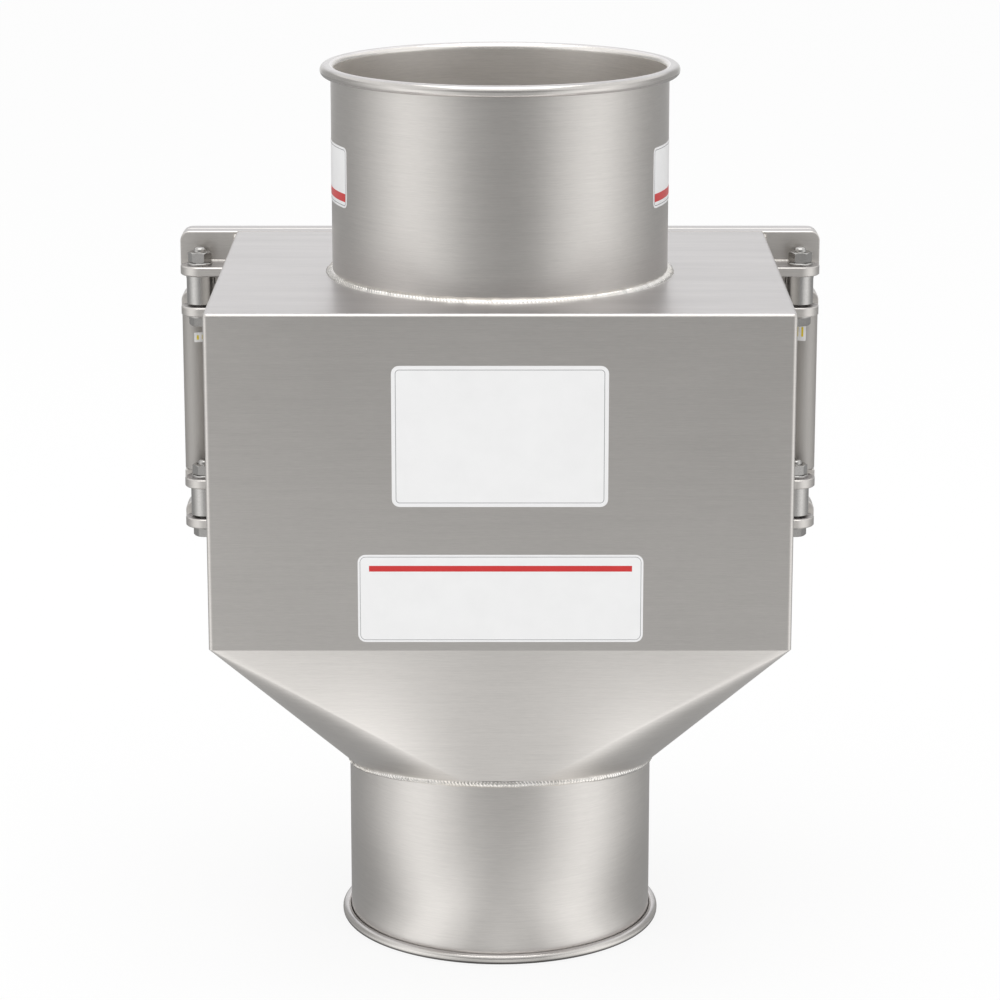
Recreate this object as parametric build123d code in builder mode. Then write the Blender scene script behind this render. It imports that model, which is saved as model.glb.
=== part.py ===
from build123d import *
from math import hypot, sqrt
import os

# Drawer magnet for free-falling bulk material, in a square housing between two round spouts.
# Millimetres, +Z up, origin at the centre of the outlet's mouth.
# The plain face of the housing looks to -Y. The magnet drawer pulls out to +Y.

# Sheet and pipe
sheet = 2.0
pipe_wall = 2.0
fold_radius = 2.5
top_fold_radius = 2.4
weld_leg = 3.0
scribe_height = 20.0
scribe_weld_width = 1.8
scribe_weld_height = 2.6
scribe_weld_gap = 0.3

# Housing and hopper
box_width = 335.0
box_depth = 270.0
box_height = 197.0
hopper_height = 110.0

# Hopper sections, as distances out from the outlet's wall: the neck just above it, the foot in it
neck_rise = 15.6
neck_side = 7.9
neck_front = 1.25
neck_corner = 3.5
neck_flat = 36.0
neck_side_flat = 28.0
foot_side = -3.2
foot_front = -16.5
foot_corner = -8.4
foot_flat = 12.0

# Spouts and their rolled lips
inlet_radius = 100.0
inlet_height = 124.0
inlet_lip_bend = 1.3
outlet_radius = 92.5
outlet_height = 98.0
outlet_lip_bend = 0.8
lip_flat = 1.7
lip_drop = 3.0

# Door flange, gasket and door plate
flange_thickness = 10.0
door_thickness = 10.0
door_gap = 1.0
ear_overhang = 35.5
ear_corner = 6.0
ear_edge = 1.5
window_side_margin = 11.5
window_level_margin = 22.5
window_corner = 6.0
gasket_width = 12.0
gasket_thickness = 3.0
gasket_margin = 3.0
notch_height = 13.0
notch_floor = 3.75
swing_relief = 9.0

# Hinge lugs and swing bolts
lug_thickness = 6.0
lug_depth = 24.5
lug_setback = 1.0
lug_gap = 20.0
lug_hole_clearance = 0.2
upper_pair_drop = 35.0
lower_pair_rise = 24.15
ear_3_rise = 1.85
eye_radius = 8.6
eye_play_top = 0.2
eye_play_bottom = 0.8
shank_rise = 3.2
running_fit = 0.05
swing_clearance = 0.12

# Fasteners, 8 mm thread
thread_radius = 4.0
hex_flats = 13.0
nut_height = 6.5
head_height = 5.3
washer_radius = 8.0
washer_thickness = 1.6
bolt_end = 2.2
wide_washer_radius = 12.0
wide_washer_thickness = 2.0
washer_clearance = 0.4

# Star knobs
knob_radius = 12.5
knob_height = 13.0
knob_neck_radius = 8.0
knob_neck_height = 5.0
knob_lobes = 5
scallop_radius = 4.5
scallop_depth = 2.0
knob_roof = 3.0

# Side tubes
tube_radius = 8.6
tube_wall = 2.0
tube_setback = 4.5
tube_clearance = 0.8

# Magnet drawer
sleeve_radius = 12.5
sleeve_wall = 1.0
sleeve_margin = 46.0
row_spacing = 60.0
upper_bars = 5
lower_bars = 4
plug_thickness = 4.0
spigot_radius = 5.0
spigot_length = 7.0
end_plate_thickness = 4.0
end_plate_margin = 10.0
end_clearance = 8.0
core_clearance = 0.5
weld_fit = 0.05
rail_thickness = 3.0
rail_height = 25.0
rail_inset = 3.0
runner_leg = 18.0
runner_thickness = 2.0

# Puller and grips
puller_thickness = 5.0
puller_gap = 0.3
puller_margin = 12.0
puller_corner = 10.0
stud_clearance = 0.3
cap_nut_height = 8.0
handle_radius = 5.0
handle_span = 110.0
handle_rise = 40.0
handle_bend = 14.0
handle_foot_radius = 9.0
handle_foot_height = 3.0
grip_radius = 4.0
grip_span = 96.0
grip_foot_radius = 8.0
grip_foot_height = 3.0
grip_rise = 34.0
grip_bend = 12.0
grip_inset = 4.0

# How near a corner lies to the line it is picked by
near = 0.01

# Levels from the outlet's mouth up
hopper_foot = outlet_height
box_foot = hopper_foot + hopper_height
box_top = box_foot + box_height
inlet_top = box_top + inlet_height
window_level = box_foot + box_height / 2

# Planes from the front to the back
box_front = -box_depth / 2
box_back = box_depth / 2
door_face = box_back + flange_thickness + door_gap
door_back = door_face + door_thickness
side_inner = box_width / 2 - sheet
ear_reach = box_width / 2 + ear_overhang
window_width = box_width - 2 * window_side_margin
window_height = box_height - 2 * window_level_margin

# Swing bolts: their pivots, and the plane where their washers sit
pivot_x = ear_reach - lug_setback - lug_depth / 2
pivot_y = box_back - lug_depth / 2
notch_depth = ear_reach - pivot_x + thread_radius + notch_floor
pair_levels = {"upper": box_top - upper_pair_drop, "lower": box_foot + lower_pair_rise}
sides = {"left": -1, "right": 1}
ear_tops = (ear_corner, ear_corner, ear_edge, ear_corner)
relief_run = hypot(ear_reach - swing_relief - pivot_x, door_back - swing_relief - pivot_y)
washer_seat = pivot_y + relief_run + swing_relief + swing_clearance
knob_seat = washer_seat + wide_washer_thickness

# Side tubes stand flush with the ends of the ears
tube_x = ear_reach - tube_radius
tube_y = box_back + tube_setback
waist = tube_x - tube_radius - tube_clearance

# Magnet bars: places in X and Z, numbered from the left, upper row first
sleeve_pitch = (window_width - 2 * sleeve_margin) / (upper_bars - 1)
upper_row = window_level + row_spacing / 2
lower_row = window_level - row_spacing / 2
bar_places = [((i - (upper_bars - 1) / 2) * sleeve_pitch, upper_row) for i in range(upper_bars)]
bar_places += [((i - (lower_bars - 1) / 2) * sleeve_pitch, lower_row) for i in range(lower_bars)]
end_plate_front = box_front + sheet + end_clearance
end_plate_back = end_plate_front + end_plate_thickness
sleeve_bore = sleeve_radius - sleeve_wall
core_radius = sleeve_bore - core_clearance
core_end = end_plate_back + plug_thickness + core_clearance
puller_face = door_back + puller_gap
puller_back = puller_face + puller_thickness

# Drawer frame: the rails stand on the runners, the lower row clears both
rail_outer = window_width / 2 - rail_inset
rail_inner = rail_outer - rail_thickness
rail_foot = lower_row - sleeve_radius - end_plate_margin


def upright(y):
    """A sketch plane across the part at depth y, drawn in X and Z, whose back is +Y."""
    return Plane.XZ.offset(-y)


def save(piece, name):
    """Label a finished piece and write it."""
    piece.part.label = name
    export_step(piece.part, f"parts/{name}.step")


def ear_bands():
    """Lowest and highest level of the four ears on each side, from the top down."""
    upper = pair_levels["upper"]
    lower = pair_levels["lower"]
    half_pair = lug_gap / 2 + lug_thickness
    half_notch = notch_height / 2
    return [
        (upper + shank_rise + half_notch, box_top),
        (upper - half_pair, upper + shank_rise - half_notch),
        (lower + shank_rise + half_notch, lower + half_pair + ear_3_rise),
        (lower - half_pair, lower + shank_rise - half_notch),
    ]


def ear_outline():
    """The common outline of the flange and the door plate, in X and Z."""
    bands = ear_bands()
    with BuildSketch() as outline:
        with Locations((0, window_level)):
            Rectangle(2 * waist, box_height)
        for low, high in bands:
            with Locations((0, (low + high) / 2)):
                Rectangle(2 * ear_reach, high - low)
        for level in pair_levels.values():
            for side in sides.values():
                with Locations((side * (ear_reach - notch_depth / 2), level + shank_rise)):
                    Rectangle(notch_depth, notch_height, mode=Mode.SUBTRACT)
        for (low, high), top_radius in zip(bands, ear_tops):
            for level, radius in ((high, top_radius), (low, ear_edge)):
                tips = outline.vertices().filter_by(lambda v: abs(v.X) > ear_reach - near)
                fillet(tips.filter_by(lambda v: abs(v.Y - level) < near), radius)
    return outline.sketch


def spout(name, plane, outer, length, bend, trim=None):
    """A tube with its lip rolled outwards, drawn from its mouth, its far end cut by trim."""
    inner = outer - pipe_wall
    roll = pipe_wall + bend
    lip = inner + 2 * roll + lip_flat
    with BuildPart() as tube:
        with BuildSketch(plane):
            with BuildLine():
                Line((inner, -length), (inner, -roll))
                CenterArc((inner + roll, -roll), roll, 180, -90)
                Line((inner + roll, 0), (lip - roll, 0))
                CenterArc((lip - roll, -roll), roll, 90, -90)
                Polyline((lip, -roll), (lip, -roll - lip_drop), (lip - pipe_wall, -roll - lip_drop),
                         (lip - pipe_wall, -roll))
                CenterArc((lip - roll, -roll), bend, 0, 90)
                Line((lip - roll, -pipe_wall), (inner + roll, -pipe_wall))
                CenterArc((inner + roll, -roll), bend, 90, 90)
                Polyline((outer, -roll), (outer, -length), (inner, -length))
            make_face()
        revolve(axis=Axis.Z)
        if trim:
            add(trim, mode=Mode.SUBTRACT)
    save(tube, name)


def inlet_weld():
    """A convex bead in the corner between the inlet and the top of the box."""
    above_box = Plane(origin=(0, 0, box_top), x_dir=(1, 0, 0), z_dir=(0, -1, 0))
    with BuildPart() as bead:
        with BuildSketch(above_box):
            with BuildLine():
                Line((inlet_radius, 0), (inlet_radius + weld_leg, 0))
                CenterArc((inlet_radius, 0), weld_leg, 0, 90)
                Line((inlet_radius, weld_leg), (inlet_radius, 0))
            make_face()
        revolve(axis=Axis.Z)
    save(bead, "inlet_weld")


def housing():
    """The folded box: open below, with the inlet's hole on top and the drawer's window behind."""
    with BuildPart() as box:
        with BuildSketch(Plane.XY.offset(box_foot)):
            RectangleRounded(box_width, box_depth, fold_radius)
        extrude(amount=box_height)
        top_edges = box.faces().sort_by(Axis.Z)[-1].edges()
        fillet(top_edges.sort_by(Axis.Y)[:-1], top_fold_radius)
        with BuildSketch(Plane.XY.offset(box_foot)):
            RectangleRounded(box_width - 2 * sheet, box_depth - 2 * sheet, fold_radius - sheet)
        extrude(amount=box_height - sheet, mode=Mode.SUBTRACT)
        with BuildSketch(Plane.XY.offset(box_top)):
            Circle(inlet_radius - pipe_wall)
        extrude(amount=-sheet, mode=Mode.SUBTRACT)
        with BuildSketch(upright(box_back)):
            with Locations((0, window_level)):
                RectangleRounded(window_width, window_height, window_corner)
        extrude(amount=sheet, mode=Mode.SUBTRACT)
    save(box, "housing")


def box_section(inset):
    """The box in plan, in eight edges from the foot of its +X side round."""
    x = box_width / 2 - inset
    y = box_depth / 2 - inset
    corner = fold_radius - inset
    with BuildLine() as outline:
        Line((x, corner - y), (x, y - corner))
        CenterArc((x - corner, y - corner), corner, 0, 90)
        Line((x - corner, y), (corner - x, y))
        CenterArc((corner - x, y - corner), corner, 90, 90)
        Line((-x, y - corner), (-x, corner - y))
        CenterArc((corner - x, corner - y), corner, 180, 90)
        Line((corner - x, -y), (x - corner, -y))
        CenterArc((x - corner, corner - y), corner, 270, 90)
    return outline.edges()


def sag(chord):
    """How far an arc of the outlet's radius bows out over a chord."""
    return outlet_radius - sqrt(outlet_radius**2 - (chord / 2) ** 2)


def round_section(inset, side, front, corner, flat, side_flat):
    """A section of the hopper near the outlet, in eight arcs from the foot of its +X side."""
    wall = outlet_radius - inset
    x = wall + side - sag(side_flat)
    y = wall + front - sag(flat)
    c = (wall + corner) / sqrt(2)
    a = flat / 2
    b = side_flat / 2
    with BuildLine() as outline:
        ThreePointArc((x, -b), (wall + side, 0), (x, b))
        ThreePointArc((x, b), (c, c), (a, y))
        ThreePointArc((a, y), (0, wall + front), (-a, y))
        ThreePointArc((-a, y), (-c, c), (-x, b))
        ThreePointArc((-x, b), (-wall - side, 0), (-x, -b))
        ThreePointArc((-x, -b), (-c, -c), (-a, -y))
        ThreePointArc((-a, -y), (0, -wall - front), (a, -y))
        ThreePointArc((a, -y), (c, -c), (x, -b))
    return outline.edges()


def funnel(inset):
    """The hopper's shape, filled: four creased faces and four curved corners."""
    with BuildPart() as solid:
        with BuildSketch(Plane.XY.offset(box_foot)):
            make_face(box_section(inset))
        with BuildSketch(Plane.XY.offset(hopper_foot + neck_rise)):
            make_face(round_section(inset, neck_side, neck_front, neck_corner,
                                    neck_flat, neck_side_flat))
        with BuildSketch(Plane.XY.offset(hopper_foot)):
            make_face(round_section(inset, foot_side, foot_front, foot_corner,
                                    foot_flat, foot_flat))
        loft(ruled=True)
    return solid.part


def hopper():
    """The sheet transition between the box and the outlet, open to the outlet's bore."""
    with BuildPart() as skin:
        add(funnel(0))
        add(funnel(sheet), mode=Mode.SUBTRACT)
        with BuildSketch(Plane.XY.offset(hopper_foot)):
            Circle(outlet_radius - pipe_wall)
        extrude(amount=scribe_height, mode=Mode.SUBTRACT)
    save(skin, "hopper")


def outlet_weld():
    """A bead round the outlet that follows its scribed end under the hopper."""
    with BuildPart() as bead:
        with BuildSketch(Plane.XY.offset(hopper_foot - scribe_weld_height)):
            Circle(outlet_radius + scribe_weld_width)
            Circle(outlet_radius, mode=Mode.SUBTRACT)
        extrude(amount=scribe_weld_height + scribe_height)
        with Locations((0, 0, -scribe_weld_height)):
            add(funnel(0), mode=Mode.INTERSECT)
        with Locations((0, 0, -scribe_weld_gap)):
            add(funnel(0), mode=Mode.SUBTRACT)
    save(bead, "outlet_weld")


def door_flange():
    """The frame welded round the window, with open notches for the swing bolts."""
    with BuildPart() as flange:
        with BuildSketch(upright(box_back)):
            add(ear_outline())
            with Locations((0, window_level)):
                RectangleRounded(window_width, window_height, window_corner, mode=Mode.SUBTRACT)
        extrude(amount=-flange_thickness)
    save(flange, "door_flange")


def gasket_ring(widening):
    """The gasket's ring round the window, or its groove where widened."""
    inner = 2 * (gasket_margin - widening)
    outer = 2 * (gasket_margin + gasket_width + widening)
    with BuildSketch() as ring:
        with Locations((0, window_level)):
            RectangleRounded(window_width + outer, window_height + outer, window_corner + outer / 2)
            RectangleRounded(window_width + inner, window_height + inner, window_corner + inner / 2,
                             mode=Mode.SUBTRACT)
    return ring.sketch


def door_gasket():
    """The flat rubber frame, half sunk in the door plate."""
    with BuildPart() as gasket:
        with BuildSketch(upright(door_face - door_gap)):
            add(gasket_ring(0))
        extrude(amount=-gasket_thickness)
    save(gasket, "door_gasket")


def door_plate():
    """The drawer's front: ears rounded behind for the swing bolts, and a hole for each sleeve."""
    with BuildPart() as door:
        with BuildSketch(upright(door_face)):
            add(ear_outline())
            with Locations(*bar_places):
                Circle(sleeve_radius + weld_fit, mode=Mode.SUBTRACT)
        extrude(amount=-door_thickness)
        with BuildSketch(upright(door_face)):
            add(gasket_ring(weld_fit))
        extrude(amount=door_gap - gasket_thickness, mode=Mode.SUBTRACT)
        with BuildSketch(Plane.XY.offset(box_foot)) as plan:
            with Locations((0, (door_face + door_back) / 2)):
                Rectangle(2 * ear_reach, door_thickness)
            fillet(plan.vertices().group_by(Axis.Y)[-1], swing_relief)
        extrude(amount=box_height, mode=Mode.INTERSECT)
    save(door, "door_plate")


def lug_pair(row, level, hand, side):
    """Two plates welded to the flange and the housing, round at the pivot."""
    with BuildPart() as lugs:
        for foot in (level - lug_gap / 2 - lug_thickness, level + lug_gap / 2):
            with BuildSketch(Plane.XY.offset(foot)):
                with Locations((side * (box_width / 2 + pivot_x) / 2, pivot_y)):
                    Rectangle(pivot_x - box_width / 2, lug_depth)
                with Locations((side * pivot_x, pivot_y)):
                    Circle(lug_depth / 2)
                    Circle(thread_radius + lug_hole_clearance, mode=Mode.SUBTRACT)
            extrude(amount=lug_thickness)
    save(lugs, f"hinge_lugs_{row}_{hand}")


def swing_bolt(row, level, hand, side):
    """A threaded shank that runs back from an eye on the pivot bolt."""
    eye_foot = level - lug_gap / 2 + eye_play_bottom
    eye_height = lug_gap - eye_play_bottom - eye_play_top
    shank_end = knob_seat + knob_neck_height + knob_height - knob_roof - running_fit
    with BuildPart() as bolt:
        with BuildSketch(Plane.XY.offset(eye_foot)):
            with Locations((side * pivot_x, pivot_y)):
                Circle(eye_radius)
        extrude(amount=eye_height)
        with BuildSketch(upright(pivot_y)):
            with Locations((side * pivot_x, level + shank_rise)):
                Circle(thread_radius)
        extrude(amount=pivot_y - shank_end)
        with BuildSketch(Plane.XY.offset(eye_foot)):
            with Locations((side * pivot_x, pivot_y)):
                Circle(thread_radius + running_fit)
        extrude(amount=eye_height, mode=Mode.SUBTRACT)
    save(bolt, f"swing_bolt_{row}_{hand}")


def knob_washer(row, level, hand, side):
    """The wide washer that bridges the notch."""
    with BuildPart() as washer:
        with BuildSketch(upright(washer_seat)):
            with Locations((side * pivot_x, level + shank_rise)):
                Circle(wide_washer_radius)
                Circle(thread_radius + washer_clearance, mode=Mode.SUBTRACT)
        extrude(amount=-wide_washer_thickness)
    save(washer, f"knob_washer_{row}_{hand}")


def star_knob(row, level, hand, side):
    """A lobed knob on a round neck, with a blind threaded hole."""
    centre = (side * pivot_x, level + shank_rise)
    with BuildPart() as knob:
        with BuildSketch(upright(knob_seat)):
            with Locations(centre):
                Circle(knob_neck_radius)
        extrude(amount=-knob_neck_height)
        with BuildSketch(upright(knob_seat + knob_neck_height)):
            with Locations(centre):
                Circle(knob_radius)
                with PolarLocations(knob_radius + scallop_radius - scallop_depth, knob_lobes):
                    Circle(scallop_radius, mode=Mode.SUBTRACT)
        extrude(amount=-knob_height)
        with BuildSketch(upright(knob_seat)):
            with Locations(centre):
                Circle(thread_radius + running_fit)
        extrude(amount=knob_roof - knob_neck_height - knob_height, mode=Mode.SUBTRACT)
    save(knob, f"star_knob_{row}_{hand}")


def pivot_places():
    """The four pivots in plan, each with the outer levels of its pair of lugs."""
    half_pair = lug_gap / 2 + lug_thickness
    return [((side * pivot_x, pivot_y), level - half_pair, level + half_pair)
            for level in pair_levels.values() for side in sides.values()]


def pivot_bolts():
    """Four hexagon bolts, heads down, whose ends stand out of the nuts."""
    with BuildPart() as bolts:
        for place, low, high in pivot_places():
            shank_foot = low - washer_thickness
            shank_top = high + washer_thickness + nut_height + bolt_end
            with BuildSketch(Plane.XY.offset(shank_foot)):
                with Locations(place):
                    RegularPolygon(hex_flats / 2, 6, major_radius=False)
            extrude(amount=-head_height)
            with BuildSketch(Plane.XY.offset(shank_foot)):
                with Locations(place):
                    Circle(thread_radius)
            extrude(amount=shank_top - shank_foot)
    save(bolts, "pivot_bolts")


def pivot_nuts():
    """Four hexagon nuts on the upper ends of the pivot bolts."""
    with BuildPart() as nuts:
        for place, low, high in pivot_places():
            with BuildSketch(Plane.XY.offset(high + washer_thickness)):
                with Locations(place):
                    RegularPolygon(hex_flats / 2, 6, major_radius=False)
                    Circle(thread_radius + weld_fit, mode=Mode.SUBTRACT)
            extrude(amount=nut_height)
    save(nuts, "pivot_nuts")


def pivot_washers():
    """A washer under each nut and above each bolt head."""
    with BuildPart() as washers:
        for place, low, high in pivot_places():
            for foot in (low - washer_thickness, high):
                with BuildSketch(Plane.XY.offset(foot)):
                    with Locations(place):
                        Circle(washer_radius)
                        Circle(thread_radius + washer_clearance, mode=Mode.SUBTRACT)
                extrude(amount=washer_thickness)
    save(washers, "pivot_washers")


def side_tube(hand, side):
    """The long tube that ties the upper ears to the lower ones."""
    foot = ear_bands()[2][1]
    top = ear_bands()[1][0]
    with BuildPart() as tube:
        with BuildSketch(Plane.XY.offset(foot)):
            with Locations((side * tube_x, tube_y)):
                Circle(tube_radius)
                Circle(tube_radius - tube_wall, mode=Mode.SUBTRACT)
        extrude(amount=top - foot)
    save(tube, f"side_tube_{hand}")


def magnet_sleeve(number, place):
    """A closed tube from the door's face to the end plate, with a spigot at its blind end."""
    with BuildPart() as sleeve:
        with BuildSketch(upright(end_plate_back)):
            with Locations(place):
                Circle(sleeve_radius)
        extrude(amount=end_plate_back - door_back)
        with BuildSketch(upright(door_back)):
            with Locations(place):
                Circle(sleeve_bore)
        extrude(amount=door_back - end_plate_back - plug_thickness, mode=Mode.SUBTRACT)
        with BuildSketch(upright(end_plate_back)):
            with Locations(place):
                Circle(spigot_radius)
        extrude(amount=spigot_length)
    save(sleeve, f"magnet_sleeve_{number}")


def magnet_core(number, place):
    """A magnet bar with a chamfered blind end and a stud for the puller plate."""
    with BuildPart() as core:
        with BuildSketch(upright(core_end)):
            with Locations(place):
                Circle(core_radius)
        extrude(amount=core_end - puller_face)
        chamfer(core.edges().sort_by(Axis.Y)[0], 2 * core_clearance)
        with BuildSketch(upright(puller_face)):
            with Locations(place):
                Circle(thread_radius)
        extrude(amount=-puller_thickness - cap_nut_height / 2)
    save(core, f"magnet_core_{number}")


def end_plate():
    """The plate that steadies the blind ends of the sleeves."""
    height = row_spacing + 2 * (sleeve_radius + end_plate_margin)
    with BuildPart() as plate:
        with BuildSketch(upright(end_plate_front)):
            with Locations((0, rail_foot + height / 2)):
                RectangleRounded(2 * rail_outer, height, window_corner)
            with Locations(*bar_places):
                Circle(spigot_radius + weld_fit, mode=Mode.SUBTRACT)
        extrude(amount=-end_plate_thickness)
    save(plate, "drawer_end_plate")


def drawer_rail(hand, side):
    """The flat bar from the end plate to the door plate, which slides on its runner."""
    with BuildPart() as rail:
        with BuildSketch(upright(end_plate_back)):
            with Locations((side * (rail_inner + rail_outer) / 2, rail_foot + rail_height / 2)):
                Rectangle(rail_thickness, rail_height)
        extrude(amount=end_plate_back - door_face)
    save(rail, f"drawer_rail_{hand}")


def runner(hand, side):
    """The angle welded to the housing's side wall, under the drawer's rail."""
    start = box_front + fold_radius
    with BuildPart() as angle:
        with BuildSketch(upright(start)):
            with Locations((side * (side_inner - runner_leg / 2), rail_foot - runner_thickness / 2)):
                Rectangle(runner_leg, runner_thickness)
            with Locations((side * (side_inner - runner_thickness / 2), rail_foot + runner_leg / 2)):
                Rectangle(runner_thickness, runner_leg)
        extrude(amount=2 * start)
    save(angle, f"runner_{hand}")


def puller_plate():
    """The plate that draws all the cores out of their sleeves at once."""
    width = (upper_bars - 1) * sleeve_pitch + 2 * (core_radius + puller_margin)
    height = row_spacing + 2 * (core_radius + puller_margin)
    with BuildPart() as plate:
        with BuildSketch(upright(puller_face)):
            with Locations((0, window_level)):
                RectangleRounded(width, height, puller_corner)
            with Locations(*bar_places):
                Circle(thread_radius + stud_clearance, mode=Mode.SUBTRACT)
        extrude(amount=-puller_thickness)
    save(plate, "puller_plate")


def core_nuts():
    """Cap nuts that hold the cores to the puller plate."""
    with BuildPart() as nuts:
        with BuildSketch(upright(puller_back)):
            with Locations(*bar_places):
                RegularPolygon(hex_flats / 2, 6, major_radius=False)
        extrude(amount=-cap_nut_height)
        with BuildSketch(upright(puller_back)):
            with Locations(*bar_places):
                Circle(thread_radius + weld_fit)
        extrude(amount=-cap_nut_height / 2 - weld_fit, mode=Mode.SUBTRACT)
    save(nuts, "core_nuts")


def bow(name, plane, radius, span, rise, bend, foot_radius, foot_height):
    """A bow handle: a bent rod on two round feet, drawn on a plane across the door."""
    ends = [(-span / 2, 0), (span / 2, 0)]
    with BuildPart() as handle:
        with BuildLine(plane) as path:
            FilletPolyline(ends[0], (-span / 2, rise), (span / 2, rise), ends[1], radius=bend)
        with BuildSketch(Plane(origin=path.line @ 0, z_dir=path.line % 0)):
            Circle(radius)
        sweep(path=path.line)
        for end in (0, 1):
            with BuildSketch(Plane(origin=path.line @ end, z_dir=(0, 1, 0))):
                Circle(foot_radius)
            extrude(amount=foot_height)
    save(handle, name)


def build():
    os.makedirs("parts", exist_ok=True)
    mouth_up = Plane(origin=(0, 0, inlet_top), x_dir=(1, 0, 0), z_dir=(0, -1, 0))
    mouth_down = Plane(origin=(0, 0, 0), x_dir=(1, 0, 0), z_dir=(0, 1, 0))
    spout("inlet_spout", mouth_up, inlet_radius, inlet_height, inlet_lip_bend)
    spout("outlet_spout", mouth_down, outlet_radius, outlet_height + scribe_height,
          outlet_lip_bend, trim=funnel(0))
    inlet_weld()
    outlet_weld()
    housing()
    hopper()
    door_flange()
    door_gasket()
    door_plate()
    for row, level in pair_levels.items():
        for hand, side in sides.items():
            lug_pair(row, level, hand, side)
            swing_bolt(row, level, hand, side)
            knob_washer(row, level, hand, side)
            star_knob(row, level, hand, side)
    pivot_bolts()
    pivot_nuts()
    pivot_washers()
    for number, place in enumerate(bar_places, 1):
        magnet_sleeve(number, place)
        magnet_core(number, place)
    end_plate()
    puller_plate()
    core_nuts()
    for hand, side in sides.items():
        side_tube(hand, side)
        drawer_rail(hand, side)
        runner(hand, side)
        grip_x = side * (rail_outer - grip_inset)
        grip_plane = Plane(origin=(grip_x, door_back, window_level), x_dir=(0, 0, 1), z_dir=(-1, 0, 0))
        bow(f"door_grip_{hand}", grip_plane, grip_radius, grip_span, grip_rise, grip_bend,
            grip_foot_radius, grip_foot_height)
    puller_front = Plane(origin=(0, puller_back, window_level), x_dir=(1, 0, 0), z_dir=(0, 0, 1))
    bow("puller_handle", puller_front, handle_radius, handle_span, handle_rise, handle_bend,
        handle_foot_radius, handle_foot_height)


build()
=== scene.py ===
import math

import bmesh
import bpy
from mathutils import Matrix, Vector, noise


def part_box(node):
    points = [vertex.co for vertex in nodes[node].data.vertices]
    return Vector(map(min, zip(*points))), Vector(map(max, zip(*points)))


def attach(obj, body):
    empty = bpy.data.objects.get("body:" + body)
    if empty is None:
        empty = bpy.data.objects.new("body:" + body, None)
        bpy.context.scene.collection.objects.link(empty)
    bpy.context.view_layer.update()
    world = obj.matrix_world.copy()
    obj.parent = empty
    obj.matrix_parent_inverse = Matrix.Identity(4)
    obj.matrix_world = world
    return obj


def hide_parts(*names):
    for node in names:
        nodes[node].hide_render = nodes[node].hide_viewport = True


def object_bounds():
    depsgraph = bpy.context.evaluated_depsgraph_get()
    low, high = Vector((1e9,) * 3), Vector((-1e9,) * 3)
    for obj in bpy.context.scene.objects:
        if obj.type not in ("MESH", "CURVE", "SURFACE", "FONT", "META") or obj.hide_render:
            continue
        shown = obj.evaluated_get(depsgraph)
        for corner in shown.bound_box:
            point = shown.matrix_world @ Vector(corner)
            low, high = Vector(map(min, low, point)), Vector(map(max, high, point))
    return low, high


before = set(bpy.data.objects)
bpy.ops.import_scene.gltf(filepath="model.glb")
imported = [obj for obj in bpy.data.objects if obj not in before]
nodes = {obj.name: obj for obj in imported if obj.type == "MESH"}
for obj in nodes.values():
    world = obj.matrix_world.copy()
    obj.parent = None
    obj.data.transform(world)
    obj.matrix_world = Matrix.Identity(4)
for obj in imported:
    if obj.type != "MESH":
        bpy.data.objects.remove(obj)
cad_low, cad_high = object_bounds()
scene = bpy.context.scene

# Sizes shared by several pieces, in metres
BOX_X = 0.1675            # half the housing's width
BOX_Y = 0.135             # half its depth
BOX_FOOT = 0.208
BOX_TOP = 0.405
INLET_R = 0.100
OUTLET_R = 0.0925
WALL = 0.002
LUG_T = 0.006
LUG_REACH = 0.016          # from the middle of a pair to the outside of its lugs
WASHER_T = 0.0016
NUT_H = 0.0065
HEAD_H = 0.0053
FILM_T = 0.00018
PIVOT_X = 0.18975
PIVOT_Y = 0.12275
PAIR_Z = {"upper": 0.370, "lower": 0.23215}
SHANK_RISE = 0.0032
SIDES = {"left": -1, "right": 1}
THREAD_R = 0.004
THREAD_PITCH = 0.00125
THREAD_FIT = 0.00005       # how much wider than the thread its nut is
HEX_FLATS = 0.013
BORE_EDGE = 0.0005         # chamfer at a nut's bore
STAINLESS = (0.63, 0.607, 0.58)


class Tree:
    """The node tree of a material or the world."""

    def __init__(self, owner):
        owner.use_nodes = True
        self.tree = owner.node_tree

    def node(self, kind, **values):
        made = self.tree.nodes.new(kind)
        for key, value in values.items():
            if key.startswith("in_"):
                made.inputs[key[3:].replace("_", " ")].default_value = value
            else:
                setattr(made, key, value)
        return made

    def link(self, a, b):
        self.tree.links.new(a, b)

    def math(self, operation, a, b=None, clamp=False):
        made = self.node("ShaderNodeMath", operation=operation, use_clamp=clamp)
        for socket, value in zip(made.inputs, (a, b)):
            if isinstance(value, (int, float)):
                socket.default_value = value
            elif value is not None:
                self.link(value, socket)
        return made.outputs[0]

    def mix(self, factor, a, b, blend="MIX"):
        made = self.node("ShaderNodeMix", data_type="RGBA", blend_type=blend)
        for socket, value in zip((made.inputs[0], made.inputs[6], made.inputs[7]),
                                 (factor, a, b)):
            if isinstance(value, (int, float, tuple)):
                socket.default_value = value
            else:
                self.link(value, socket)
        return made.outputs[2]

    def parts(self, vector):
        """The X, Y and Z of a vector."""
        made = self.node("ShaderNodeSeparateXYZ")
        self.link(vector, made.inputs[0])
        return made.outputs


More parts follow.
